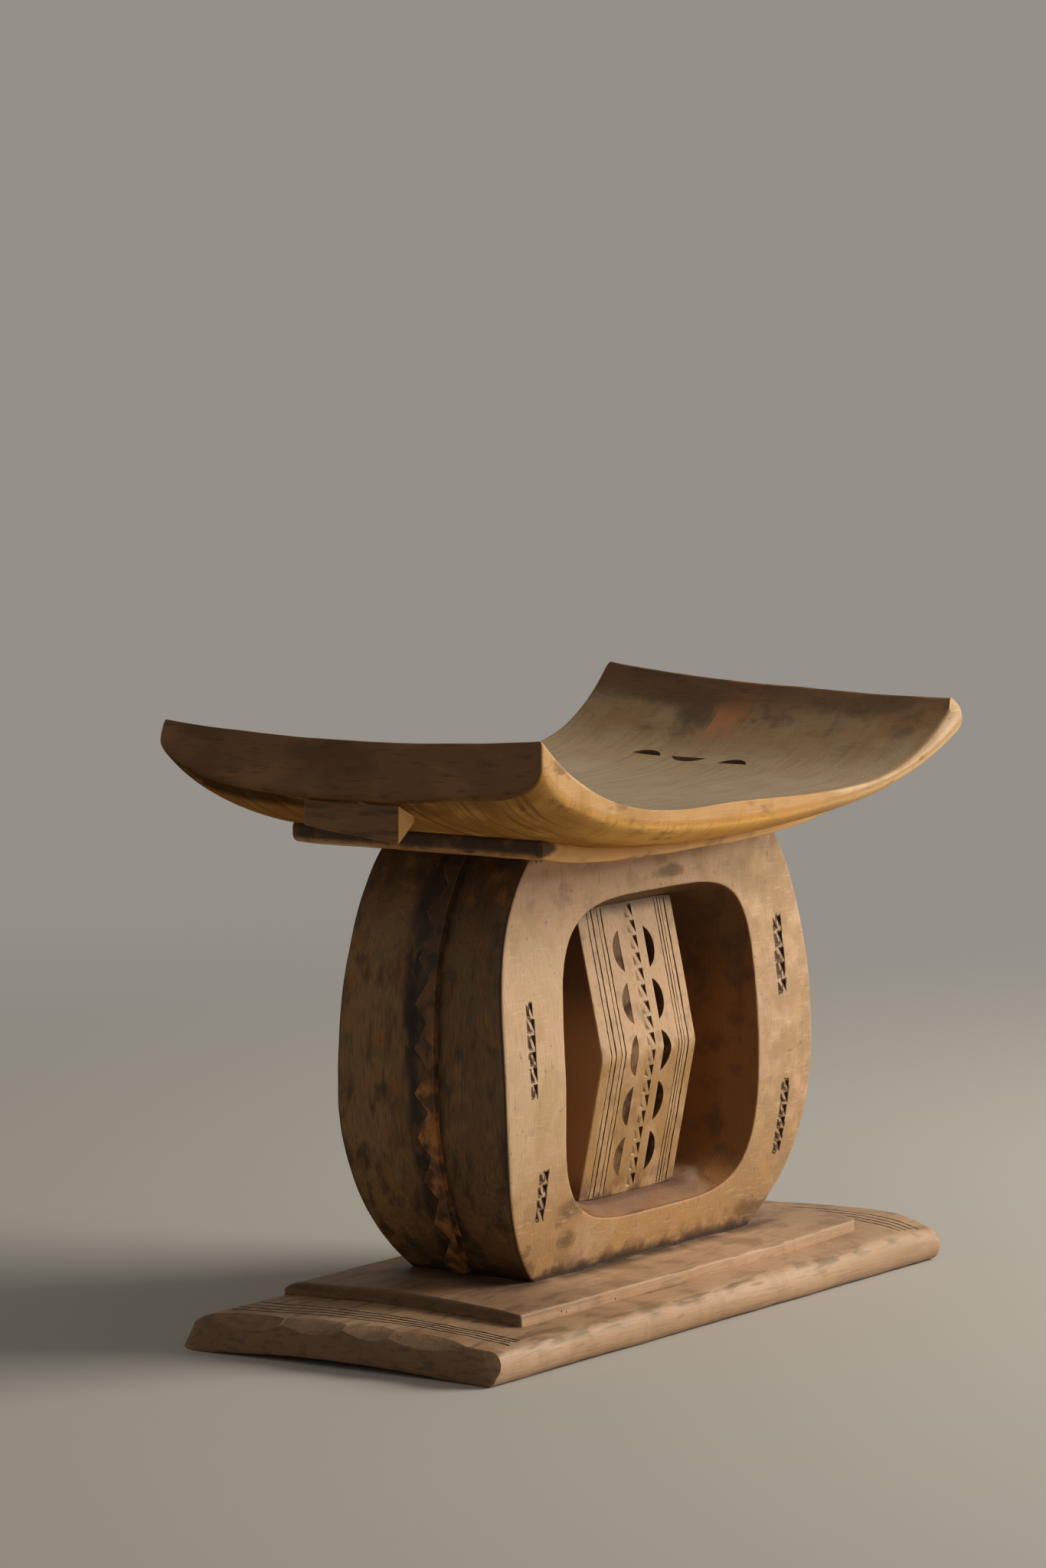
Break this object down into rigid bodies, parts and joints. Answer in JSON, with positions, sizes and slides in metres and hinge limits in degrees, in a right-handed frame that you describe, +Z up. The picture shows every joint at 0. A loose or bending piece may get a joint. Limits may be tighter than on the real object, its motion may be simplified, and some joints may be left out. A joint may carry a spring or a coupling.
{
  "type": "carved wooden stool",
  "caption": "Low carved wooden stool: a concave seat with upturned ends on a bulging ring around a creased, chip-carved centre column, standing on a stepped slab base.",
  "frame": {"origin": "under the middle of the base, on the surface that the stool stands on", "axes": "+X along the stool's length, +Y to the back as pictured, +Z up"},
  "size_m": [0.479, 0.2932, 0.386],
  "materials": {
    "base_wood": "dry, worn and unvarnished",
    "ring_wood": "dry, worn and unvarnished, darker at the ends",
    "column_wood": "dry, worn and chip-carved",
    "rib_wood": "dark patina with a rusty tint",
    "seat_wood": "worn smooth, with a dull sheen",
    "peg_wood": "raw whittled wood"
  },
  "bodies": {
    "root": {"base_slab": "base_wood", "base_step": "base_wood", "ring_frame": "ring_wood", "centre_column": "column_wood", "end_rib_left": "rib_wood", "end_rib_right": "rib_wood", "seat_cradle": "seat_wood", "seat": "seat_wood", "grip_lug_left": "seat_wood", "grip_lug_right": "seat_wood", "base_peg_front_left": "peg_wood", "base_peg_front_right": "peg_wood", "base_peg_back_left": "peg_wood", "base_peg_back_right": "peg_wood", "seat_peg_front_left": "peg_wood", "seat_peg_front_right": "peg_wood", "seat_peg_back_left": "peg_wood", "seat_peg_back_right": "peg_wood", "column_peg_lower": "peg_wood", "column_peg_upper": "peg_wood", "lug_peg_left_front": "peg_wood", "lug_peg_left_back": "peg_wood", "lug_peg_right_front": "peg_wood", "lug_peg_right_back": "peg_wood"}
  },
  "joints": []
}
